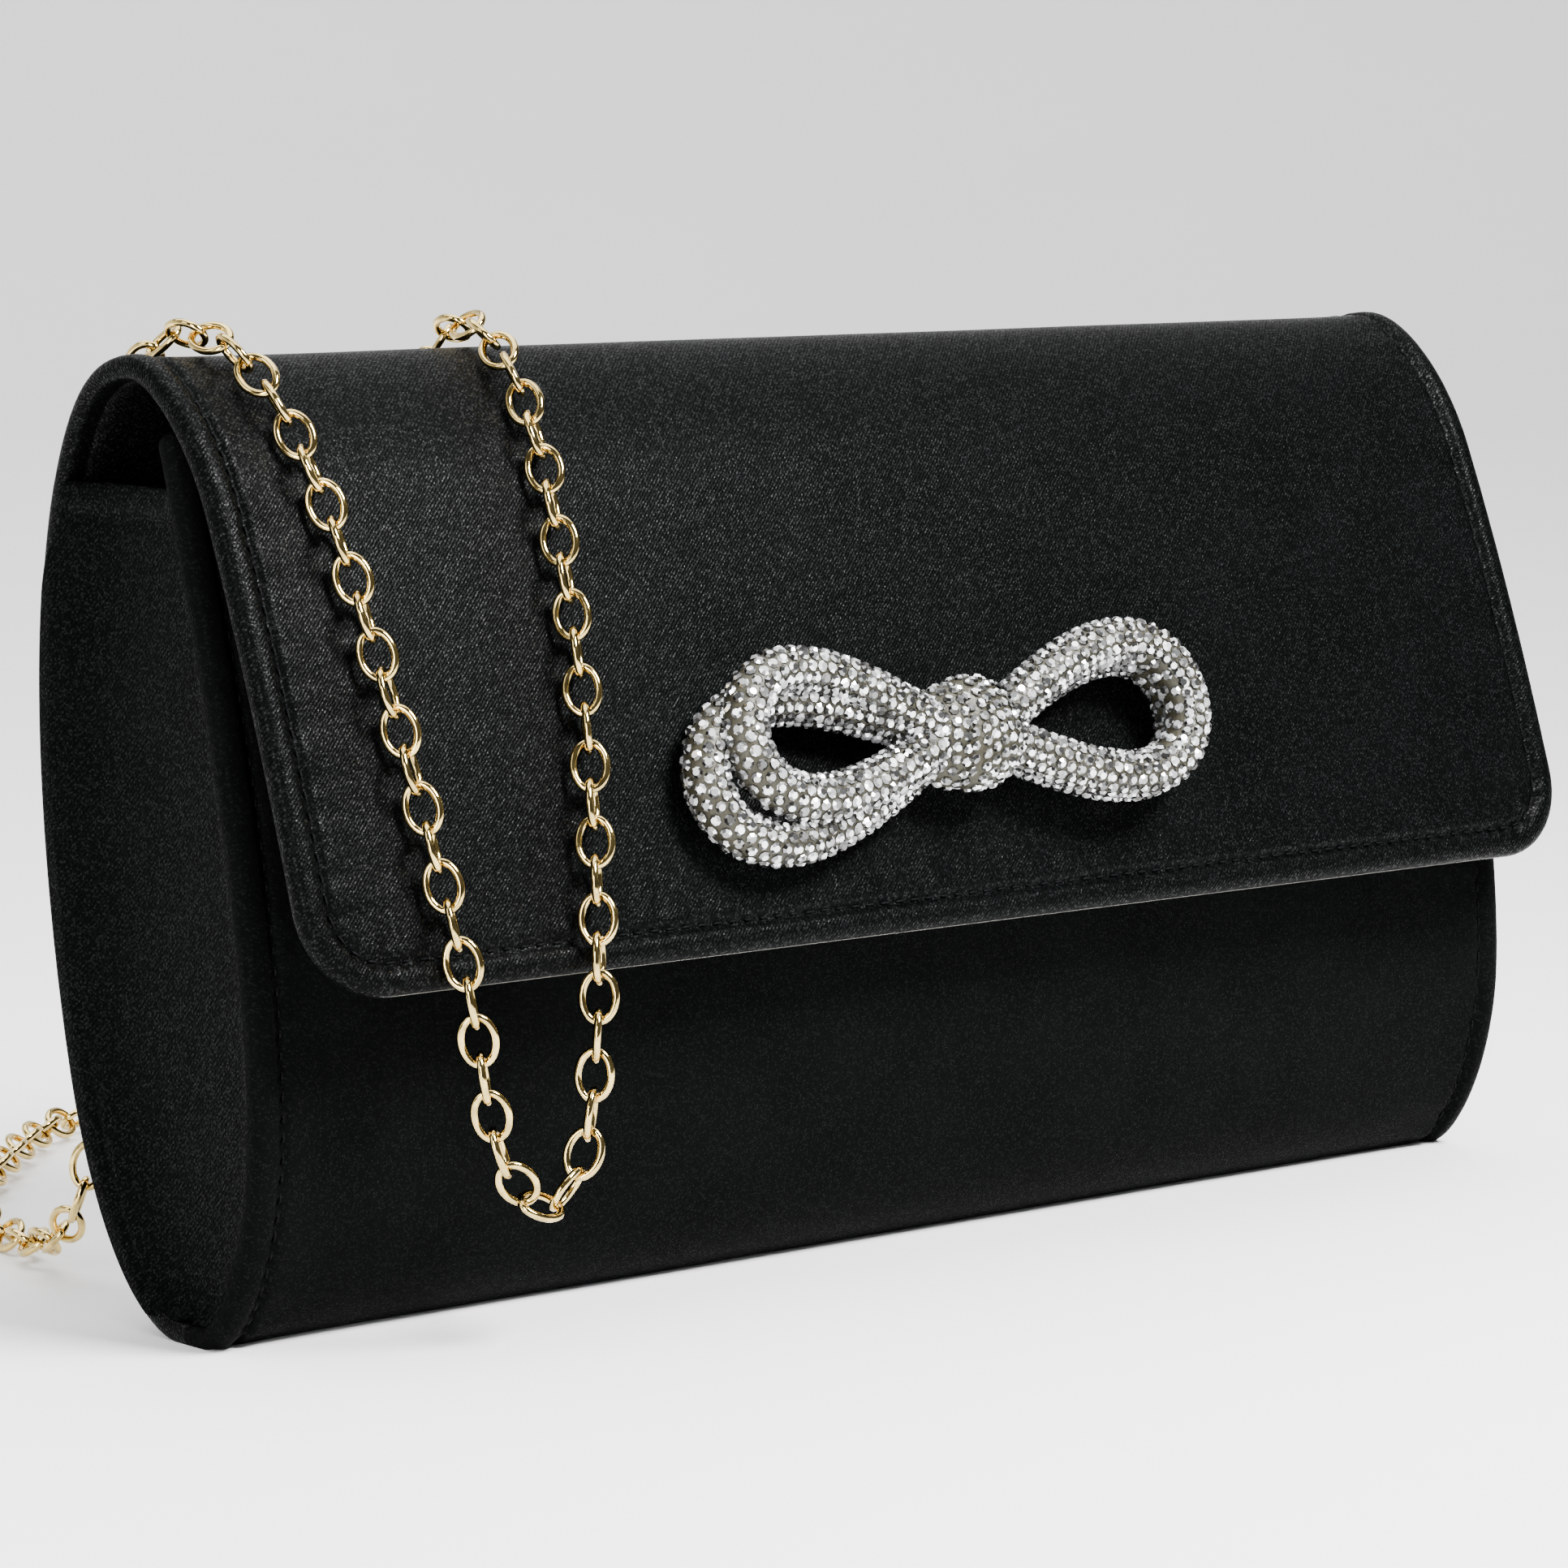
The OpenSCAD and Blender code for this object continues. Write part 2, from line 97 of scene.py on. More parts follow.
def thicken(obj, thickness):
    """Gives a sheet its thickness, on the side away from its normals."""
    modifier = obj.modifiers.new("thickness", "SOLIDIFY")
    modifier.thickness = thickness * MM
    modifier.offset = -1
    apply_modifiers(obj)
    return obj


def apply_modifiers(obj):
    evaluated = obj.evaluated_get(bpy.context.evaluated_depsgraph_get())
    mesh = bpy.data.meshes.new_from_object(evaluated)
    obj.modifiers.clear()
    obj.data = mesh


# ---- materials ----
class Nodes:
    """A short way to build one node material."""

    def __init__(self, name):
        self.material = bpy.data.materials.new(name)
        self.material.use_nodes = True
        self.tree = self.material.node_tree
        self.shader = self.tree.nodes["Principled BSDF"]

    def node(self, kind, inputs=(), **settings):
        made = self.tree.nodes.new(kind)
        for key, value in settings.items():
            setattr(made, key, value)
        for key, value in dict(inputs).items():
            self.feed(made.inputs[key], value)
        return made

    def feed(self, socket, value):
        if isinstance(value, bpy.types.NodeSocket):
            self.tree.links.new(value, socket)
        else:
            socket.default_value = value

    def set(self, **values):
        for key, value in values.items():
            self.feed(self.shader.inputs[key.replace("_", " ")], value)

    def coords(self, kind="Object"):
        return self.node("ShaderNodeTexCoord").outputs[kind]

    def noise(self, vector, scale, detail=2.0, rough=0.5):
        inputs = {"Vector": vector, "Scale": scale, "Detail": detail, "Roughness": rough}
        return self.node("ShaderNodeTexNoise", inputs).outputs["Fac"]

    def wave(self, vector, scale, direction="DIAGONAL", distortion=0.0):
        inputs = {"Vector": vector, "Scale": scale, "Distortion": distortion}
        return self.node("ShaderNodeTexWave", inputs, bands_direction=direction).outputs["Fac"]

    def scaled(self, value, low, high, out_low, out_high):
        inputs = {"Value": value, "From Min": low, "From Max": high, "To Min": out_low, "To Max": out_high}
        return self.node("ShaderNodeMapRange", inputs).outputs["Result"]

    def math(self, operation, a, b):
        made = self.node("ShaderNodeMath", {0: a, 1: b}, operation=operation)
        return made.outputs["Value"]

    def mix(self, factor, a, b):
        made = self.node("ShaderNodeMix", data_type="RGBA")
        self.feed(made.inputs["Factor"], factor)
        self.feed(made.inputs["A"], (*a, 1) if isinstance(a, tuple) else a)
        self.feed(made.inputs["B"], (*b, 1) if isinstance(b, tuple) else b)
        return made.outputs["Result"]

    def bump(self, height, strength, distance):
        inputs = {"Height": height, "Strength": strength, "Distance": distance}
        self.set(Normal=self.node("ShaderNodeBump", inputs).outputs["Normal"])


def satin(name, dark, light, twill, coords="UV", roughness=0.39, gloss=0.03, painted_glint_gain=6, grain=0.6):
    """Black satin: a fine diagonal weave, tiny thread glints painted into its colour and raised in its gloss,
    and slow changes of tone.
    """
    n = Nodes(name)
    place = n.coords(coords)
    weave = n.wave(place, twill, distortion=1.5)
    threads = n.noise(place, 2600, 1.0, 0.6)
    cells = n.node("ShaderNodeTexVoronoi", {"Vector": place, "Scale": 2700})
    lit = n.node("ShaderNodeSeparateColor", {"Color": cells.outputs["Color"]}).outputs["Red"]
    spots = n.scaled(cells.outputs["Distance"], 0.15, 0.6, 1, 0)
    thread_glint_specks = n.math("MULTIPLY", spots, n.scaled(lit, 0.15, 1, 0, 1))
    tone = n.noise(place, 60, 4.0)
    shade = n.math("MULTIPLY", n.scaled(weave, 0, 1, 0.4, 1.0), n.scaled(tone, 0.35, 0.65, 0.6, 1.0))
    base = n.mix(shade, dark, light)
    # painted highlight: the specks brighten the base colour as glints of threads catching the light
    n.set(Base_Color=n.mix(thread_glint_specks, base, tuple(c * painted_glint_gain for c in light)))
    n.set(Roughness=n.scaled(threads, 0.3, 0.7, roughness + 0.08, roughness - 0.1))
    by_speck = n.scaled(thread_glint_specks, 0, 1, 1 - grain, 1 + 4 * grain)
    uneven = n.math("MULTIPLY", by_speck, n.scaled(weave, 0, 1, 0.8, 1.2))
    n.set(Specular_IOR_Level=n.math("MULTIPLY", uneven, gloss))
    n.bump(n.math("ADD", n.math("MULTIPLY", weave, 0.3), threads), 0.7, 0.00012)
    return n.material


def metal(name, colour, roughness, grain=900.0):
    """Plated metal with faint handling marks."""
    n = Nodes(name)
    place = n.coords()
    marks = n.noise(place, grain, 3.0)
    n.set(Base_Color=n.mix(n.scaled(marks, 0.4, 0.65, 0, 1), colour, tuple(c * 0.6 for c in colour)))
    n.set(Metallic=1.0, Roughness=n.scaled(marks, 0.3, 0.7, roughness * 0.8, roughness * 1.5))
    n.bump(n.noise(place, grain * 2, 2.0), 0.08, 0.00003)
    return n.material


def board():
    """Grey bonded fibre board."""
    n = Nodes("fibre_board")
    place = n.coords()
    fibres = n.noise(place, 1400, 5.0, 0.7)
    n.set(Base_Color=n.mix(n.scaled(fibres, 0.35, 0.65, 0, 1), (0.23, 0.22, 0.2), (0.42, 0.4, 0.36)))
    n.set(Roughness=0.85)
    n.bump(fibres, 0.4, 0.0001)
    return n.material


def thread():
    """Black sewing thread, two plies."""
    n = Nodes("thread")
    plies = n.wave(n.coords(), 900)
    n.set(Base_Color=n.mix(plies, (0.0006, 0.0006, 0.0007), (0.003, 0.0033, 0.0036)), Roughness=0.6)
    n.set(Specular_IOR_Level=0.05)
    n.bump(plies, 0.5, 0.0001)
    return n.material


def stones():
    """Foil-backed clear stones with painted glints: each facet's colour is set lighter or darker than the
    next, standing in for what it reflects.
    """
    n = Nodes("clear_stones")
    painted_facet_glint = n.node("ShaderNodeAttribute", attribute_name="painted_facet_glint").outputs["Fac"]
    n.set(Base_Color=n.mix(painted_facet_glint, (0.045, 0.043, 0.038), (0.97, 0.98, 1.0)))
    n.set(Metallic=n.scaled(painted_facet_glint, 0.3, 1, 0.95, 0.6), Roughness=n.scaled(painted_facet_glint, 0, 1, 0.22, 0.06))
    return n.material


def rope():
    """The grey-beige mesh the stones are set in, its colour darkened with painted shade for the gaps between
    the stones.
    """
    n = Nodes("stone_mesh")
    place = n.coords()
    grain = n.noise(place, 2600, 2.0)
    n.set(Base_Color=n.mix(grain, (0.012, 0.011, 0.006), (0.05, 0.045, 0.026)), Roughness=0.45, Metallic=0.3)
    n.bump(grain, 0.5, 0.00015)
    return n.material


BLACK, GREY = (0.0003, 0.00034, 0.00033), (0.0014, 0.0017, 0.00168)
LINING_GREY = (0.0022, 0.0023, 0.0024)
SATIN = satin("satin_outer", BLACK, GREY, 950, gloss=0.043, painted_glint_gain=3)
# painted light: the front panel's copy of the same satin is coloured lighter for how the light falls on it,
# and has less gloss
FRONT_BLACK_PAINTED_LIGHTER, FRONT_GREY_PAINTED_LIGHTER = (0.0009, 0.001, 0.001), (0.0026, 0.0029, 0.0028)
SATIN_FRONT = satin("satin_front", FRONT_BLACK_PAINTED_LIGHTER, FRONT_GREY_PAINTED_LIGHTER, 1600, gloss=0.005, painted_glint_gain=1.9, grain=0.4)
SATIN_GUSSET = satin("satin_gusset", BLACK, GREY, 720, roughness=0.46, gloss=0.019, painted_glint_gain=3.5)
SATIN_SOLID = satin("satin_tab", BLACK, GREY, 950, coords="Object")
LINING = satin("satin_lining", BLACK, LINING_GREY, 800, roughness=0.38, gloss=0.02)
LINING_SOLID = satin("satin_pocket", BLACK, LINING_GREY, 800, coords="Object")
GOLD = metal("champagne_gold", (0.8, 0.59, 0.21), 0.07, 500)
STEEL = metal("plated_steel", (0.62, 0.63, 0.64), 0.3)
BOARD = board()
THREAD = thread()
STONES = stones()
ROPE = rope()

# ---- chain strap ----
# the strap's route, as in the part, with the two places where it crosses the fold
STRAP_BACK_A = [
    (127.3, 18, 90), (128.6, 18.5, 40), (128.8, 25, 10), (121, 39, 3.5), (94, 68, 3.5), (30, 115, 3.5),
    (-15, 142, 3.5), (-36, 149, 3.5), (-53, 144, 3.5), (-80, 119, 3.5), (-101, 94, 3.5), (-110, 64, 3.5),
    (-114.6, 46, 10.5), (-113.4, 41, 28), (-113.2, 39.8, 100)]
FOLD_LEFT, FOLD_RIGHT = (-113.5, 36, 119.5), (-61.5, 36, 119.5)
STRAP_FRONT = [
    (-113.5, 24.7, 137.5), (-112.5, 13, 141), (-111, -0.4, 134.5), (-108.7, -11.5, 118.5),
    (-105, -24.3, 85.7), (-102, -34.5, 53), (-98.5, -34.9, 35), (-95.5, -34.9, 26.5),
    (-88.5, -34.9, 20.3),
    (-82.5, -34.9, 26.5), (-80.6, -34.9, 35), (-79, -34.5, 53), (-73, -24.3, 85.7),
    (-69.5, -11.5, 118.5), (-67.5, -0.4, 134.5), (-65, 13, 141), (-62.5, 24.7, 137.5)]
STRAP_BACK_B = [
    (-61, 39.8, 100), (-58.5, 40.2, 50), (-57, 43, 14), (-47, 52, 3.6), (-22, 60, 3.5), (4, 61, 3.5)]
STRAP = [*STRAP_BACK_A, FOLD_LEFT, *STRAP_FRONT, FOLD_RIGHT, *STRAP_BACK_B]
LINK_LONG, LINK_WIDE, LINK_WIRE = 8.0, 5.9, 1.15
LINK_PITCH = 5.5
LINK_LOWER = 0.7


def smooth_route(points, step):
    """Points a step apart along the smooth curve through the route's points."""
    p = np.array(points, float)
    last = len(p) - 1
    slopes = []
    for i in range(len(p)):
        a, b = p[max(i - 1, 0)], p[min(i + 1, last)]
        slopes.append((b - a) / (np.linalg.norm(p[i] - a) + np.linalg.norm(b - p[i])))
    fine = []
    for i in range(last):
        h = np.linalg.norm(p[i + 1] - p[i])
        for t in np.linspace(0, 1, 40, endpoint=False):
            t2, t3 = t * t, t * t * t
            fine.append((2 * t3 - 3 * t2 + 1) * p[i] + (t3 - 2 * t2 + t) * h * slopes[i]
                        + (3 * t2 - 2 * t3) * p[i + 1] + (t3 - t2) * h * slopes[i + 1])
    return evenly(np.array([*fine, p[last]]), step)


def evenly(line, step):
    """The same line with its points a step apart."""
    lengths = np.r_[0, np.cumsum(np.linalg.norm(np.diff(line, axis=0), axis=1))]
    count = max(2, int(round(lengths[-1] / step)) + 1)
    wanted = np.linspace(0, lengths[-1], count)
    return np.stack([np.interp(wanted, lengths, line[:, k]) for k in range(3)], axis=1)


def line_length(line):
    return float(np.linalg.norm(np.diff(line, axis=0), axis=1).sum())


def near_floor(p):
    return np.clip((16 - p[2]) / 8, 0, 1)


def away_from_bag(p):
    """The side of a chain link that faces away from what it lies on."""
    on_floor = near_floor(p)
    outward = unit([0, p[1] - 12, max(0, p[2] - 95) * 0.9])
    return unit(outward * (1 - on_floor) + np.array([0, 0, 1]) * on_floor)


def link_shape(around=32, sides=8):
    """One oval link: points along its length (x), its width (y) and its thickness (z)."""
    half_long, half_wide = (LINK_LONG - LINK_WIRE) / 2, (LINK_WIDE - LINK_WIRE) / 2
    points = []
    for i in range(around):
        a = 2 * math.pi * i / around
        centre = np.array([half_long * math.cos(a), half_wide * math.sin(a), 0])
        out = unit([math.cos(a) / half_long, math.sin(a) / half_wide, 0])
        for k in range(sides):
            b = 2 * math.pi * k / sides
            points.append(centre + LINK_WIRE / 2 * (out * math.cos(b) + np.array([0, 0, 1]) * math.sin(b)))
    faces = [(i * sides + k, ((i + 1) % around) * sides + k, ((i + 1) % around) * sides + (k + 1) % sides,
              i * sides + (k + 1) % sides) for i in range(around) for k in range(sides)]
    return np.array(points), np.array(faces)


def make_chain():
    line = smooth_route(STRAP, 1.0)
    length = line_length(line)
    count = int(length // LINK_PITCH) + 1
    centres = evenly(line, length / (count - 1))
    shape, link_faces = link_shape()
    points, faces = [], []
    for i, centre in enumerate(centres):
        along = unit(centres[min(i + 1, len(centres) - 1)] - centres[max(i - 1, 0)])
        up = away_from_bag(centre)
        across = unit(np.cross(up, along))
        up = np.cross(along, across)
        turn = math.radians((45 if i % 2 else -45) + random.uniform(-8, 8))
        side = across * math.cos(turn) + up * math.sin(turn)
        thick = np.cross(along, side)
        faces.append(link_faces + len(points) * len(shape))
        lower = LINK_LOWER * (1 - 0.6 * near_floor(centre))
        points.append(centre - lower * up + shape @ np.array([along, side, thick]))
    chain = link_mesh("chain_strap", np.concatenate(points), np.concatenate(faces), GOLD)
    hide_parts("strap_floor_left_back", "strap_front", "strap_right_back")
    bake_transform(chain)
    print("chain", round(length, 1), "mm,", count, "links")


make_chain()


# ---- side outline, as in the part: Bezier pieces through [y, z] ----
def straight(a, b):
    a, b = np.array(a, float), np.array(b, float)
    return [a, a + (b - a) / 3, a + (b - a) * 2 / 3, b]


BASE_MIDDLE, BASE_FRONT, BASE_BACK = (1, 0), (-1.5, 0), (3.5, 0)
FRONT_LOW = [BASE_FRONT, (-7.5, 0), (-16.2, 15), (-16.2, 32)]
FRONT_HIGH = [(-16.2, 32), (-16.2, 62), (-4, 104), (3.5, 127)]
BACK = [[BASE_BACK, (15, 0.2), (24.6, 15.5), (29.3, 33)], [(29.3, 33), (32.5, 45), (36.3, 66), (36.4, 85)],
        [(36.4, 85), (36.6, 98), (34.9, 111), (31.9, 119.5)]]
OVER = [[(31.9, 119.5), (28.1, 130.3), (23.4, 137.2), (13, 137.2)],
        [(13, 137.2), (7, 137.2), (-2.8, 129), (-8, 117)], [(-8, 117), (-17, 96), (-24.8, 73), (-30.9, 52)]]
HALF_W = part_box("wrap_cover")[1][0] / MM
COVER_T, WALL_T, LINING_T = 0.7, 2.9, 0.6
FRONT_CROWN = 6
FLAP_CORNER_R = 13
STITCH_IN = 4.6
STITCH_PITCH = 2.9
# the satin never sinks as far as the board under it, and runs a little past the front board's top
DEEPEST = 0.6
FRONT_OVER = 0.8


class Profile:
    """An outline measured by its length s. Its outer side is on the right of its direction."""

    def __init__(self, pieces):
        t = np.linspace(0, 1, 60)[:, None]
        runs = []
        for piece in pieces:
            p = np.array(piece, float)
            near = (1 - t) ** 3 * p[0] + 3 * t * (1 - t) ** 2 * p[1]
            run = near + 3 * t * t * (1 - t) * p[2] + t ** 3 * p[3]
            runs.append(run if not runs else run[1:])
        self.points = np.concatenate(runs)
        self.s = np.r_[0, np.cumsum(np.linalg.norm(np.diff(self.points, axis=0), axis=1))]
        tangent = unit(np.gradient(self.points, self.s, axis=0))
        self.outward = np.stack([tangent[:, 1], -tangent[:, 0]], axis=1)
        self.length = self.s[-1]

    def at(self, s):
        """The place and the outward direction at s; past an end the outline runs on straight."""
        pick = [np.interp(s, self.s, column) for column in (*self.points.T, *self.outward.T)]
        outward = unit(np.stack(pick[2:], axis=-1))
        along = np.stack([-outward[..., 1], outward[..., 0]], axis=-1)
        past = (s - np.clip(s, 0, self.length))[..., None]
        return np.stack(pick[:2], axis=-1) + along * past, outward


def crown(x, z):
    """How far the filled front stands out."""
    bulge = np.sin(np.radians(180 * (np.clip(z, 8, 127) - 8) / 119)) ** 2
    return FRONT_CROWN * (1 - (x / HALF_W) ** 2) * bulge


class Surface:
    """A place on a panel from x, s and the depth below its outer face."""

    def __init__(self, profile, crowned=False):
        self.profile, self.crowned = profile, crowned
        self.length = profile.length

    def place(self, x, s, depth):
        x, s, depth = np.broadcast_arrays(*[np.asarray(v, float) for v in (x, s, depth)])
        p, outward = self.profile.at(s)
        q = p - outward * depth[..., None]
        y = q[..., 0] - (crown(x, p[..., 1]) if self.crowned else 0)
        return np.stack([x, y, q[..., 1]], axis=-1)


class Reversed(Surface):
    """The same surface with s counted from the other end."""

    def place(self, x, s, depth):
        return super().place(x, self.length - np.asarray(s, float), depth)


wrap = Surface(Profile([straight(BASE_MIDDLE, BASE_BACK), *BACK, *OVER]))
front = Reversed(Profile([FRONT_HIGH[::-1], FRONT_LOW[::-1], straight(BASE_FRONT, BASE_MIDDLE)]), crowned=True)
fold_s = float(Profile([straight(BASE_MIDDLE, BASE_BACK), *BACK]).length)


# ---- sewn panels ----
def edge_distance(x, s, end, corner):
    """Distance inwards from the finished edge: the two sides and the rounded far end."""
    ax, b = np.abs(x) - (HALF_W - corner), s - (end - corner)
    in_corner = (ax > 0) & (b > 0)
    return np.where(in_corner, corner - np.hypot(ax, b), np.minimum(HALF_W - np.abs(x), end - s))


def waves(x, s, seed):
    """A smooth, slow, repeatable unevenness between -1 and 1."""
    rng = np.random.default_rng(seed)
    total = np.zeros(np.broadcast(x, s).shape)
    for _ in range(9):
        k = rng.uniform(0.03, 0.16, 2) * rng.choice([-1, 1], 2)
        total = total + np.sin(k[0] * x + k[1] * s + rng.uniform(0, 6.3))
    return total / 9


def seam_depth(x, s, end, corner):
    """How far the satin sinks at the stitch line and puckers on both sides of it."""
    d = edge_distance(x, s, end, corner)
    along = np.where(HALF_W - np.abs(x) < end - s, s, x)
    per_stitch = np.sin(2 * math.pi * along / STITCH_PITCH)
    slow = np.sin(along * 1.13 + 2 * np.sin(along * 0.21))
    slow = slow + 0.7 * np.sin(along * 0.52 + 1.3 * np.sin(along * 0.13))
    off = d - STITCH_IN + 0.25 * per_stitch
    groove = (0.85 + 0.35 * per_stitch) * np.exp(-(off / 0.65) ** 2)
    padding = -0.7 * np.clip(1 - ((d - STITCH_IN / 2) / (STITCH_IN / 2)) ** 2, 0, 1)
    inside = np.exp(-np.clip(off, 0, None) / 6) * (off > 0)
    padding = padding - 0.3 * inside
    on_roll = 0.45 * np.exp(np.clip(off, None, 0) / 1.8) * (off <= 0) * np.clip(d / 1.5, 0, 1)
    puckers = (0.17 * slow + 0.22 * per_stitch * np.exp(-np.abs(off) / 2.2)) * (inside + on_roll)
    sag = 0.12 * waves(x, s, 3) * np.clip(d / 20, 0, 1)
    return np.minimum(groove + padding + puckers + sag, DEEPEST)


def columns(half):
    """Places across a panel, close together near its edges, two to a stitch between."""
    fine = np.r_[np.arange(half, half - 7, -0.4), np.arange(half - 7, half - 12, -0.8)]
    inner = np.arange(STITCH_PITCH / 4, half - 12, STITCH_PITCH / 2)
    side = np.r_[inner, fine[::-1]]
    return np.r_[-side[::-1], side]


def satin_panel(name, surface, end, corner, material):
    """A satin sheet over a panel, its edges rolled round the board and turned in."""
    roll = WALL_T / 2
    half, last, radius = HALF_W - roll, end - roll, corner - roll
    t = radius * (1 - np.cos(np.linspace(0, math.pi / 2, 33)))
    s_rows = np.r_[0, np.arange(STITCH_PITCH / 4, last - radius - 0.3, STITCH_PITCH / 2), last - t[::-1]]
    into = np.clip(radius - (last - s_rows), 0, radius)
    widths = half - radius + np.sqrt(radius ** 2 - into ** 2)
    f = columns(half) / half
    x, s = f[None, :] * widths[:, None], s_rows[:, None] + 0 * f[None, :]
    rows, cols = x.shape
    depth = seam_depth(x, s, end, corner)
    points = [surface.place(x, s, depth).reshape(-1, 3)]
    uv = [np.stack([x, s], axis=-1).reshape(-1, 2)]
    index = np.arange(rows * cols).reshape(rows, cols)
    faces = [quads(index)]
    # the outline in order: up one side, along the far end and down the other side
    outline = np.r_[index[:, 0], index[-1, 1:-1], index[::-1, -1]]
    edge_x, edge_s = x.ravel()[outline], s.ravel()[outline]
    out = unit(np.stack([np.sign(edge_x) * np.clip(np.abs(edge_x) - (half - radius), 0, None),
                         np.clip(edge_s - (last - radius), 0, None)], axis=-1) + 1e-9)
    ring = outline
    start = rows * cols
    steps = [(roll * math.sin(a) ** 0.7, roll * (1 - math.copysign(abs(math.cos(a)) ** 0.7, math.cos(a))))
             for a in np.linspace(0, math.pi, 11)[1:]]
    steps += [(-1.2, WALL_T), (-2.6, WALL_T), (-4, WALL_T - 0.1)]
    edge_depth = depth.ravel()[outline]
    travelled, before = 0, (0, 0)
    for step, (reach, down) in enumerate(steps):
        fade = max(0, 1 - (step + 1) / 4)
        px, ps = edge_x + out[:, 0] * reach, edge_s + out[:, 1] * reach
        points.append(surface.place(px, ps, down + edge_depth * fade))
        travelled += math.dist(before, (reach, down))
        before = reach, down
        uv.append(np.stack([edge_x + out[:, 0] * travelled, edge_s + out[:, 1] * travelled], axis=-1))
        new = start + np.arange(len(outline))
        faces.append(quads(np.stack([ring, new])))
        ring, start = new, start + len(outline)
    points = np.concatenate(points)
    # the padded edges press flat where the bag stands
    points[:, 2] = np.maximum(points[:, 2], 0)
    obj = link_mesh(name, points, np.concatenate(faces), material, np.concatenate(uv))
    face_outward(obj, surface)
    thicken(obj, COVER_T)
    return obj


def quads(index):
    """Faces between the rows of a grid of point numbers."""
    a, b, c, d = index[:-1, :-1], index[1:, :-1], index[1:, 1:], index[:-1, 1:]
    return np.stack([a, b, c, d], axis=-1).reshape(-1, 4)


def face_outward(obj, surface, flip=False):
    """Turns all faces of one connected sheet so that its normals leave the panel's outer face."""
    bm = bmesh.new()
    bm.from_mesh(obj.data)
    bmesh.ops.recalc_face_normals(bm, faces=bm.faces)
    bm.faces.ensure_lookup_table()
    middle = surface.place(0, surface.length / 2, 0)
    face = min(bm.faces, key=lambda f: (f.calc_center_median() / MM - Vector(middle)).length)
    outward = Vector(surface.place(0, surface.length / 2, -1) - middle)
    if (face.normal.dot(outward) < 0) != flip:
        bmesh.ops.reverse_faces(bm, faces=bm.faces)
    bm.to_mesh(obj.data)
    bm.free()


def lining_sheet(name, surface, end, corner, s_from=3):
    """The lining inside a panel, sewn a few millimetres in from its edges."""
    inset = 3.2
    half, last = HALF_W - inset, end - inset
    radius = max(corner - inset, 1.5)
    t = radius * (1 - np.cos(np.linspace(0, math.pi / 2, 9)))
    s_rows = np.r_[np.arange(s_from, last - radius, 2.0), last - t[::-1]]
    into = np.clip(radius - (last - s_rows), 0, radius)
    widths = half - radius + np.sqrt(radius ** 2 - into ** 2)
    f = np.linspace(-1, 1, 90)
    x, s = f[None, :] * widths[:, None], s_rows[:, None] + 0 * f[None, :]
    inwards = WALL_T + 0.3 + 0.3 * waves(x * 2.5, s * 2.5, 11)
    index = np.arange(x.size).reshape(x.shape)
    uv = np.stack([x, s], axis=-1).reshape(-1, 2)
    obj = link_mesh(name, surface.place(x, s, inwards).reshape(-1, 3), quads(index), LINING, uv)
    face_outward(obj, surface, flip=True)
    thicken(obj, LINING_T - 0.1)
    return obj


def stitches(name, surface, end, corner, s_from=0):
    """A row of sewn stitches along a panel's edge."""
    inner = HALF_W - STITCH_IN
    r = corner - STITCH_IN
    side = np.stack([np.full(2, -inner), [s_from, end - corner]], axis=-1)
    turn = np.linspace(0, math.pi / 2, 10)[1:]
    arc = [(-inner + r - r * math.cos(a), end - corner + r * math.sin(a)) for a in turn]
    half_path = np.r_[side, arc]
    path = np.r_[half_path, half_path[::-1] * [-1, 1]]
    path = evenly(np.c_[path, np.zeros(len(path))], STITCH_PITCH / 2)[:, :2]
    points, faces = [], []
    for i in range(1, len(path) - 1, 2):
        along = unit(path[i + 1] - path[i - 1])
        lozenge, own = stitch_shape()
        local = lozenge[:, :1] * along + lozenge[:, 1:2] * np.array([-along[1], along[0]])
        xs = path[i] + local
        depth = 0.42 - lozenge[:, 2]
        faces += [[n + len(points) * len(lozenge) for n in f] for f in own]
        points.append(surface.place(xs[:, 0], xs[:, 1], depth))
    return link_mesh(name, np.concatenate(points), faces, THREAD)


def stitch_shape(length=2.2, width=0.42, height=0.3, rings=5, sides=6):
    """A stitch: a thread that dives into the cloth at both ends."""
    points, faces = [(-length / 2, 0, -0.3)], []
    for i in range(1, rings):
        u = -1 + 2 * i / rings
        thick = math.sqrt(1 - u * u)
        for k in range(sides):
            a = 2 * math.pi * k / sides
            points.append((u * length / 2, width / 2 * thick ** 0.4 * math.cos(a),
                           height * (thick - 0.6) + width / 2 * thick ** 0.4 * math.sin(a)))
    points.append((length / 2, 0, -0.3))
    for k in range(sides):
        faces.append([0, 1 + (k + 1) % sides, 1 + k])
        for i in range(rings - 2):
            a, b = 1 + i * sides + k, 1 + i * sides + (k + 1) % sides
            faces.append([a, b, b + sides, a + sides])
        low = 1 + (rings - 2) * sides
        faces.append([low + k, low + (k + 1) % sides, len(points) - 1])
    return np.array(points), faces


def over_the_fold(obj):
    """Cloth of the back and the flap, with its transform baked into its points."""
    turn = np.array(wrap.place(0, fold_s, 0)) * MM
    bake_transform(obj)


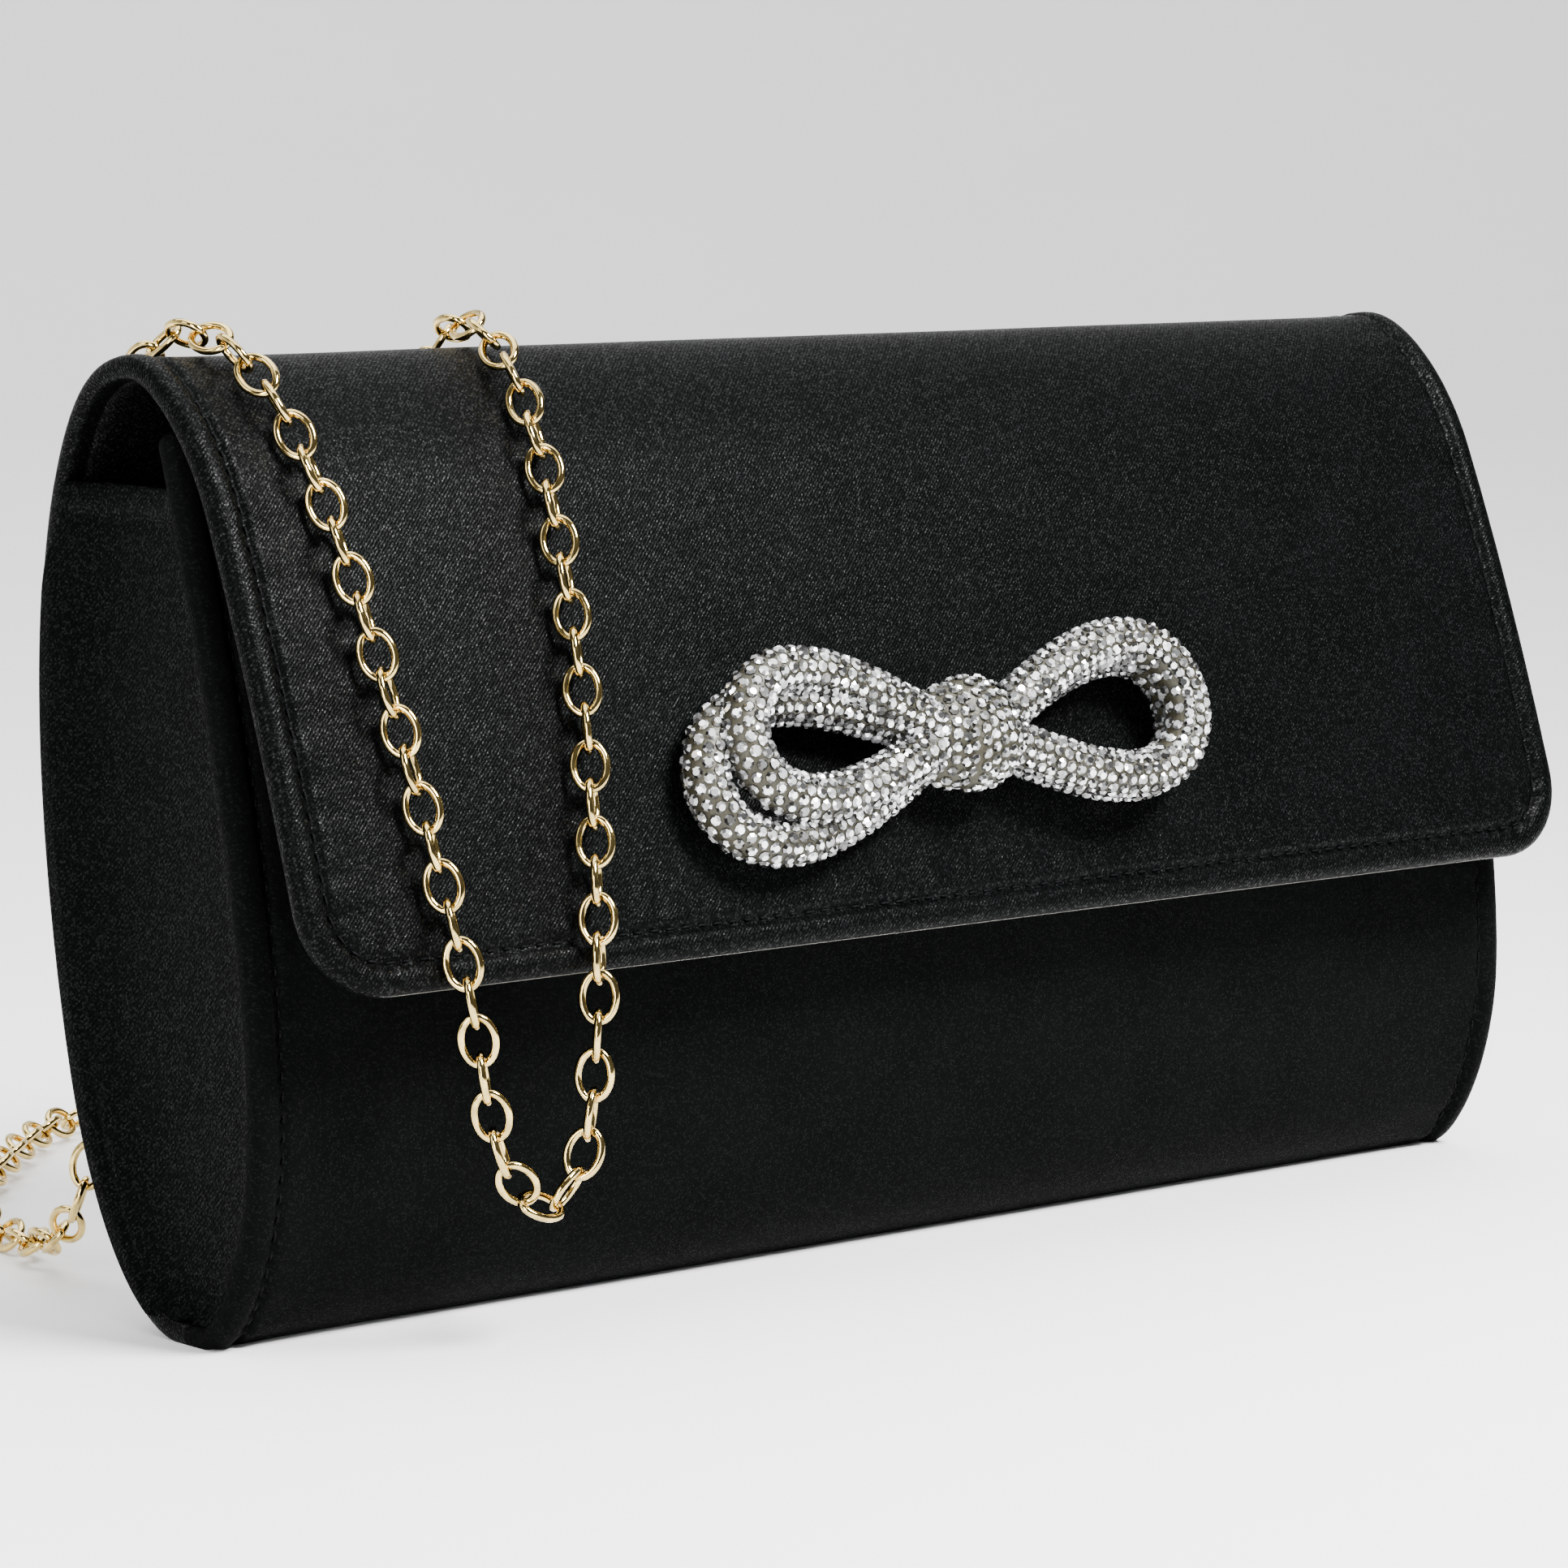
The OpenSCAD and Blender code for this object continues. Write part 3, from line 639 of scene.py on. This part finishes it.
def make_shell():
    wrap_skin = satin_panel("satin_back_and_flap", wrap, wrap.length, FLAP_CORNER_R, SATIN)
    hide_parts("wrap_cover", "flap_cover")
    over_the_fold(wrap_skin)
    front_skin = satin_panel("satin_front", front, front.length + FRONT_OVER, 2, SATIN_FRONT)
    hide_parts("front_cover")
    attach(front_skin, "root")
    back_lining = lining_sheet("lining_back_and_flap", wrap, wrap.length, FLAP_CORNER_R)
    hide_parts("body_lining", "flap_lining")
    over_the_fold(back_lining)
    inner_front = lining_sheet("lining_front", front, front.length, 2)
    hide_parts("front_lining")
    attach(inner_front, "root")
    sewn = stitches("stitches_back_and_flap", wrap, wrap.length, FLAP_CORNER_R)
    over_the_fold(sewn)
    sewn_front = stitches("stitches_front", front, front.length + FRONT_OVER, 5.5)
    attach(sewn_front, "root")


make_shell()


# ---- gussets ----
GUSSET_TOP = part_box("gusset_left")[1][2] / MM + 0.8
GUSSET_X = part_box("gusset_left")[0][0] / -MM
SEAM_BAND = 4.4
HEM = 4.4


def smoothstep(t):
    t = np.clip(t, 0, 1)
    return t * t * (3 - 2 * t)


def gusset_sheet(name, side, node, x_out, material, thickness, worked):
    """One end wall. A worked sheet has raised edges, a sewn hem on top, a seam line and crumples."""
    depth = (WALL_T + 0.1, 0.7) if worked else (WALL_T + 0.1, WALL_T + 0.1)
    edges = []
    for surface, d in zip((front, wrap), depth):
        s = np.linspace(0, surface.length if surface is front else fold_s, 300)
        edges.append(surface.place(HALF_W, s, d)[:, 1:])
    low = WALL_T + 0.12
    z = low + (GUSSET_TOP - low) * np.linspace(0, 1, 130) ** 1.1
    near_y, far_y = [np.interp(z, line[:, 1], line[:, 0])[:, None] for line in edges]
    below_hem = smoothstep((GUSSET_TOP - z[:, None] - 2) / 14) if worked else 0
    far_y = far_y - 1.6 * (1 - below_hem) * worked
    f = np.linspace(0, 1, 60)
    f = f - np.sin(2 * math.pi * f) * 0.06
    y = near_y + (far_y - near_y) * f
    zz = z[:, None] + 0 * f
    sunk = 0.9 * np.sin(math.pi * f) * np.clip((far_y - near_y) / 40, 0, 1) + 0.15 * waves(y * 2, zz * 2, 5)
    if worked:
        to_back, to_front, up = far_y - y, y - near_y, zz - low
        sunk = sunk - (1.2 + 1.2 * below_hem) * np.exp(-(to_back / 9) ** 2)
        sunk = sunk - 0.6 * np.exp(-(to_front / 1.6) ** 2)
        seam = np.minimum(to_back, up * 0.9)
        low_down = smoothstep((60 - zz) / 40)
        sunk = sunk + low_down * 0.28 * np.exp(-((seam - SEAM_BAND) / 0.7) ** 2)
        crumple = waves(y * 7, zz * 5, 21) + 0.6 * np.sin(zz * 1.1 + y * 1.3 + 2 * np.sin(y * 0.4))
        sunk = sunk + 0.3 * crumple * np.exp(-(seam / 3.5) ** 2) * low_down + 0.35 * crumple * np.exp(-up / 4)
        hem = smoothstep((zz - (GUSSET_TOP - HEM)) / 0.8)
        sunk = sunk - 0.45 * hem + 0.35 * np.exp(-((zz - GUSSET_TOP + HEM) / 0.6) ** 2)
        sunk = sunk + 0.16 * hem * np.sin(zz * 2.1 + y * 0.35 + 1.5 * np.sin(y * 0.3))
    x = side * (x_out - np.clip(sunk, x_out - HALF_W - 0.3, 2.2))
    index = np.arange(x.size).reshape(x.shape)
    points = np.stack([x, y, zz], axis=-1).reshape(-1, 3)
    uv = np.stack([y, zz], axis=-1).reshape(-1, 2)
    obj = link_mesh(name, points, quads(index), material, uv)
    aim_normals(obj, (side, 0, 0))
    thicken(obj, thickness)
    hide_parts(node)
    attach(obj, "root")


def aim_normals(obj, direction):
    """Turns a nearly flat sheet's faces to look one way."""
    total = sum((p.normal * p.area for p in obj.data.polygons), Vector())
    if total.dot(Vector(direction)) < 0:
        obj.data.flip_normals()


def gusset_stitches(side):
    """The stitches along a gusset's hem."""
    z = GUSSET_TOP - HEM
    y0 = np.interp(z, *front.place(HALF_W, np.linspace(0, front.length, 200), WALL_T)[:, [2, 1]].T)
    y1 = np.interp(z, *wrap.place(HALF_W, np.linspace(0, fold_s, 200), WALL_T)[:, [2, 1]].T)
    shape, own = stitch_shape(length=2.3, width=0.42)
    points, faces = [], []
    for y in np.arange(y0 + 2.5, y1 - 2, STITCH_PITCH):
        sunk = 0.9 * math.sin(math.pi * (y - y0) / (y1 - y0)) * 0.8 + 0.2
        faces += [[n + len(points) * len(shape) for n in f] for f in own]
        x = side * (GUSSET_X - sunk + shape[:, 2])
        points.append(np.stack([x, y + shape[:, 0], z + shape[:, 1]], axis=-1))
    word = "right" if side > 0 else "left"
    obj = link_mesh("stitches_gusset_" + word, np.concatenate(points), faces, THREAD)
    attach(obj, "root")


def make_gussets():
    for side, word in ((-1, "left"), (1, "right")):
        outer, inner = "gusset_" + word, "gusset_lining_" + word
        gusset_sheet("satin_gusset_" + word, side, outer, GUSSET_X, SATIN_GUSSET, 0.8, True)
        gusset_sheet("lining_gusset_" + word, side, inner, GUSSET_X - 1.1, LINING, 0.4, False)
        gusset_stitches(side)


make_gussets()

# ---- bow ----
BOW_X = -3
BOW_T = 0.6
ROPE_R = 3.7
STONE_R = 0.88
STONE_H = 0.5
STONE_STEP = 1.9
BOW_LOOPS = {
    "bow_left_front_loop": dict(x=-6, reach=-40, height=19, tilt=-4, n_far=8.2, n_near=6.5),
    "bow_left_rear_loop": dict(x=-6, reach=-45.5, height=20.5, tilt=4.5, n_far=4.3, n_near=5),
    "bow_right_front_loop": dict(x=1, reach=40.5, height=20.5, tilt=3, n_far=8.2, n_near=6.5),
    "bow_right_rear_loop": dict(x=1, reach=42, height=19.5, tilt=2, n_far=4.3, n_near=5)}


def flap_point(t):
    p = np.array(OVER[2], float)
    return (1 - t) ** 3 * p[0] + 3 * t * (1 - t) ** 2 * p[1] + 3 * t * t * (1 - t) * p[2] + t ** 3 * p[3]


def on_flap(local):
    """From the bow's own x, up and outward to the part's frame."""
    local = np.asarray(local, float)
    p = flap_point(BOW_T)
    up = unit(flap_point(BOW_T - 0.01) - flap_point(BOW_T + 0.01))
    out = np.array([-up[1], up[0]])
    yz = p + local[..., 1:2] * up + local[..., 2:3] * out
    return np.concatenate([BOW_X + local[..., :1], yz], axis=-1)


def loop_line(x, reach, height, tilt, n_far, n_near):
    """The middle line of one loop of the rope, in the bow's own frame."""
    a = np.radians(np.linspace(5, 175, 120))
    c, s = math.cos(math.radians(tilt)), math.sin(math.radians(tilt))
    u, v = reach * np.sin(a), height * np.sin(a) * np.cos(a)
    line = np.stack([x + u * c - v * s, u * s + v * c, n_near + (n_far - n_near) * np.sin(a)], axis=-1)
    return evenly(line, 0.6)


def frames_along(line):
    """A direction and two sides at each point of a line, without twist."""
    tangents = unit(np.gradient(line, axis=0))
    side = unit(np.cross(tangents[0], [0, 0, 1]))
    sides = []
    for t in tangents:
        side = unit(side - t * (side @ t))
        sides.append(side)
    sides = np.array(sides)
    return tangents, sides, np.cross(tangents, sides)


def rope_mesh(name, line, radius, sides=24):
    _, a, b = frames_along(line)
    angle = np.linspace(0, 2 * math.pi, sides, endpoint=False)
    ring = np.cos(angle)[None, :, None] * a[:, None, :] + np.sin(angle)[None, :, None] * b[:, None, :]
    points = (line[:, None, :] + radius * ring).reshape(-1, 3)
    index = np.arange(len(points)).reshape(len(line), sides)
    index = np.c_[index, index[:, :1]]
    faces = [*quads(index).tolist(), list(range(sides)), [len(points) - 1 - k for k in range(sides)]]
    obj = link_mesh(name, on_flap(points), faces, ROPE)
    outward_normals(obj)
    return obj


def outward_normals(obj):
    bm = bmesh.new()
    bm.from_mesh(obj.data)
    bmesh.ops.recalc_face_normals(bm, faces=bm.faces)
    bm.to_mesh(obj.data)
    bm.free()


def stone_shape(sides=8):
    """A cut stone: a straight girdle, a sloping crown and a flat table."""
    rings = [(STONE_R, -0.15), (STONE_R, 0.1), (STONE_R * 0.6, STONE_H)]
    points = [(r * math.cos(2 * math.pi * k / sides), r * math.sin(2 * math.pi * k / sides), h)
              for r, h in rings for k in range(sides)]
    faces = []
    for i in range(2):
        for k in range(sides):
            a, b = i * sides + k, i * sides + (k + 1) % sides
            faces.append([a, b, b + sides, a + sides])
    faces.append([2 * sides + k for k in range(sides)])
    return np.array(points), faces


def stone_mesh(name, seats):
    """Stones on the seats given, each a point and the way it faces, in the bow's own frame."""
    shape, own = stone_shape()
    points, faces, painted_facet_glints = [], [], []
    for seat, out in seats:
        tipped = unit(out + np.array([random.gauss(0, 0.09) for _ in range(3)]))
        a = unit(np.cross(tipped, [random.uniform(-1, 1), 0.8, 0.52]))
        b = np.cross(tipped, a)
        faces += [[n + len(points) * len(shape) for n in f] for f in own]
        points.append(seat + shape @ np.array([a, b, tipped]))
        # painted glints: the sides are painted dark, the crown facets and table light or dark at random, and
        # each stone brighter or duller as a whole
        clear = random.choice((0.5, 0.85, 1, 1))
        painted_facet_glints += [0.08] * 8 + [clear * random.choice((0.03, 0.15, 0.4, 0.8, 1)) for _ in range(8)]
        painted_facet_glints += [clear * random.choice((0.25, 0.9, 1, 1))]
    obj = link_mesh(name, on_flap(np.concatenate(points)), faces, STONES, smooth=False)
    obj.data.attributes.new("painted_facet_glint", "FLOAT", "FACE").data.foreach_set("value", painted_facet_glints)
    return obj


def rope_seats(line, radius, around=12):
    """Stones in rows along a rope, every other row half a step on; none where a bend leaves no room."""
    line = evenly(line, 0.1)
    _, a, b = frames_along(line)
    step = line_length(line) / (len(line) - 1)
    seats = []
    for k in range(around):
        angle = 2 * math.pi * k / around
        out = math.cos(angle) * a + math.sin(angle) * b
        last = None
        for g in np.arange((k % 2) * STONE_STEP / 2 + 0.3, line_length(line), STONE_STEP):
            i = int(g / step)
            seat = line[i] + radius * out[i]
            if last is None or np.linalg.norm(seat - last) > STONE_R * 1.65:
                seats.append((seat, out[i]))
                last = seat
    return seats


def knot_point(u, v):
    """The knot's skin: a squat barrel round the crossing, in two turns with a crease between them."""
    c, sn = math.cos(u), math.sin(u)
    crease = 1 - 0.13 * math.exp(-((v + 0.38) / 0.13) ** 2) + 0.05 * math.sin(3 * u + 2 * v)
    width = math.sqrt(max(0, 1 - (v * v) ** 1.3 * 0.62)) * crease
    return np.array([v * 8 - 3 + 0.9 * sn + 0.5 * c, 8.3 * c * width - 0.4 * v, 6.4 + 5.3 * sn * width])


def make_knot():
    around, across = 48, 30
    grid = np.array([[knot_point(2 * math.pi * i / around, -1 + 2 * j / across) for j in range(across + 1)]
                     for i in range(around)])
    index = np.arange(around * (across + 1)).reshape(around, across + 1)
    index = np.r_[index, index[:1]]
    faces = [*quads(index).tolist(), index[:-1, 0].tolist(), index[:-1, -1][::-1].tolist()]
    obj = link_mesh("bow_knot_rope", on_flap(grid.reshape(-1, 3)), faces, ROPE)
    outward_normals(obj)
    seats = []
    rows = 10
    for j in range(rows):
        v = -0.94 + 1.88 * j / (rows - 1)
        ring = np.array([knot_point(a, v) for a in np.linspace(0, 2 * math.pi, 240, endpoint=False)])
        ring = evenly(np.r_[ring, ring[:1]], STONE_STEP)[:-1]
        centre = ring.mean(axis=0)
        for i, p in enumerate(ring):
            at = p + (ring[(i + 1) % len(ring)] - p) * (0.5 if j % 2 else 0)
            seats.append((at, unit(at - centre + np.array([v ** 3 * 6, 0, 0]))))
    gems = stone_mesh("bow_knot_stones", seats)
    for piece in (obj, gems):
        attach(piece, "flap")
    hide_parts("bow_knot")


def make_bow():
    base_r = ROPE_R - STONE_H
    for node, shape in BOW_LOOPS.items():
        line = loop_line(**shape)
        core = rope_mesh(node + "_rope", line, base_r)
        gems = stone_mesh(node + "_stones", rope_seats(line, base_r))
        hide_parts(node)
        for piece in (core, gems):
            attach(piece, "flap")
    make_knot()


make_bow()


# ---- hardware and hidden pieces keep their CAD shape ----
def finish_cad_nodes():
    looks = {
        GOLD: ["snap_socket", "snap_stud", "d_ring_left", "d_ring_right", "clasp_attached",
               "clasp_attached_lever", "clasp_loose", "clasp_loose_lever", "clasp_pins", "jump_rings"],
        STEEL: ["snap_socket_washer", "snap_stud_washer", "bow_posts", "bow_backing"],
        BOARD: ["front_board", "base_board", "back_board", "flap_board"],
        SATIN_SOLID: ["ring_tab_left", "ring_tab_right"],
        LINING_SOLID: ["slip_pocket"]}
    for material, names in looks.items():
        for name in names:
            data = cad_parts[name].data
            if len(data.materials) == 0:
                data.materials.append(material)
            for i in range(len(data.materials)):
                data.materials[i] = material


finish_cad_nodes()


# ---- floor and light ----
# the wall runs from the right of the view round the back to the left, in 96ths of a turn
WALL_FROM, WALL_TO = 4, 46


def pale_floor():
    """A round floor that curves up into a wall behind the bag and on its left; the front right is open."""
    n = Nodes("pale_floor")
    tone = n.noise(n.coords(), 6, 2.0)
    n.set(Base_Color=n.mix(tone, (0.86, 0.86, 0.86), (0.9, 0.9, 0.9)), Roughness=0.7)
    reach, bend, top, around = 2.2, 1.0, 2.4, 96
    arc = [math.pi / 2 * k / 12 for k in range(13)]
    profile = [(reach + bend * math.sin(a), bend * (1 - math.cos(a))) for a in arc] + [(reach + bend, top)]
    turns = [2 * math.pi * i / around for i in range(around)]
    points = [(r / MM * math.cos(a), r / MM * math.sin(a), z / MM) for r, z in profile for a in turns]
    index = np.arange(len(points)).reshape(-1, around)
    wall = index[:, WALL_FROM:WALL_TO]
    floor = link_mesh("floor", points, [*quads(wall).tolist(), list(range(around))], n.material)


def area_light(name, place, target, size, energy, colour=(1, 1, 1)):
    data = bpy.data.lights.new(name, "AREA")
    data.shape = "RECTANGLE"
    data.size, data.size_y = size
    data.energy = energy
    data.color = colour
    light = bpy.data.objects.new(name, data)
    bpy.context.scene.collection.objects.link(light)
    light.location = place
    light.rotation_euler = (Vector(target) - Vector(place)).to_track_quat("-Z", "Y").to_euler()


def make_lights():
    world = bpy.data.worlds.new("studio")
    world.use_nodes = True
    world.node_tree.nodes["Background"].inputs["Color"].default_value = (1, 1, 1, 1)
    world.node_tree.nodes["Background"].inputs["Strength"].default_value = 0.12
    bpy.context.scene.world = world
    middle = (0, 0, 0.07)
    area_light("key", (0.11, -0.5, 0.66), (-0.08, 0, 0.09), (0.28, 0.28), 29)
    area_light("edge", (-0.8, -0.4, 0.25), (-0.12, -0.02, 0.06), (0.2, 0.5), 7)
    area_light("dome", (0.3, 0.9, 2.2), (0.3, 0.9, 0), (3, 3), 120)
    area_light("rim", (-0.9, 0.1, 0.5), middle, (0.3, 0.5), 2)


pale_floor()
make_lights()
